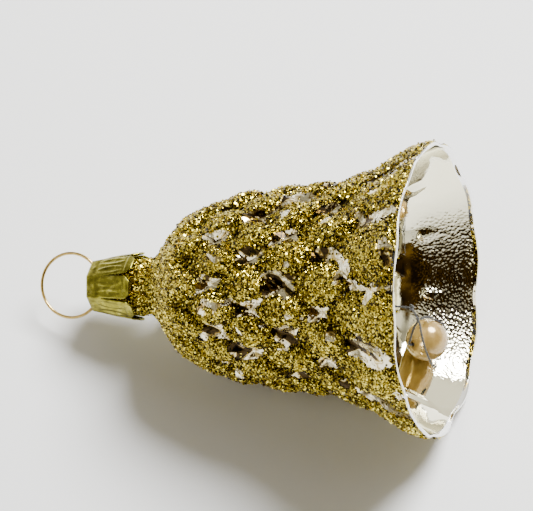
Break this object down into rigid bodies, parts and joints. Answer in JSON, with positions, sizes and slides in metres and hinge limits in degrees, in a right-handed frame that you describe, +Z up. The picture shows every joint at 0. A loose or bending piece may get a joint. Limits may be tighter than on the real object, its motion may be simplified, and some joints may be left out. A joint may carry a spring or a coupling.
{
  "type": "christmas bell ornament",
  "caption": "Blown-glass bell ornament with a relief of staggered bumps, gold glitter, a crimped metal cap, a sprung wire hanger and a pearl clapper on a thread.",
  "frame": {"origin": "centre of the bottom of the bounding box of the bell lying on its side, on the surface it lies on", "axes": "+X towards the open mouth along the longest extent, +Z up, +Y to the left of the mouth"},
  "size_m": [0.0682, 0.0432, 0.0421],
  "materials": {
    "silvered_glass": "blown glass silvered on the inside, glittered gold outside",
    "gold_glitter": "loose metallic flakes glued to the glass",
    "cap_metal": "thin crimped sheet, olive gold",
    "hanger_wire": "polished pale gold wire",
    "black_thread": "twisted thread",
    "pearl": "champagne pearl lustre"
  },
  "bodies": {
    "bell": {"glass_bell": "silvered_glass", "thread_stay": "black_thread"},
    "cap": {"cap_crown": "cap_metal"},
    "hanger": {"hanger_wire": "hanger_wire"},
    "swivel": {"swivel_knot": "black_thread"},
    "thread": {"clapper_thread": "black_thread", "lower_knot": "black_thread"},
    "bead": {"bead_loop": "black_thread", "thread_tail": "black_thread", "pearl_bead": "pearl"}
  },
  "joints": [
    {"name": "cap_pull", "type": "slide", "parent": "bell", "child": "cap", "axis": [-0.9689, 0, -0.2475], "range_m": [0, 0.012]},
    {"name": "hanger_tilt", "type": "hinge", "parent": "cap", "child": "hanger", "pos_m": [-0.02478, 0, 0.00748], "axis": [-0.1384, 0.829, 0.5418], "range_deg": [-4, 4]},
    {"name": "clapper_orbit", "type": "hinge", "parent": "bell", "child": "swivel", "pos_m": [-0.01545, 0, 0.00986], "axis": [0.9689, 0, 0.2475], "continuous": true},
    {"name": "clapper_swing", "type": "hinge", "parent": "swivel", "child": "thread", "pos_m": [-0.01545, 0, 0.00986], "axis": [0, -1, 0], "range_deg": [0, 14]},
    {"name": "bead_swing", "type": "hinge", "parent": "thread", "child": "bead", "pos_m": [0.02469, 0, 0.01495], "axis": [0, -1, 0], "range_deg": [0, 90]}
  ]
}
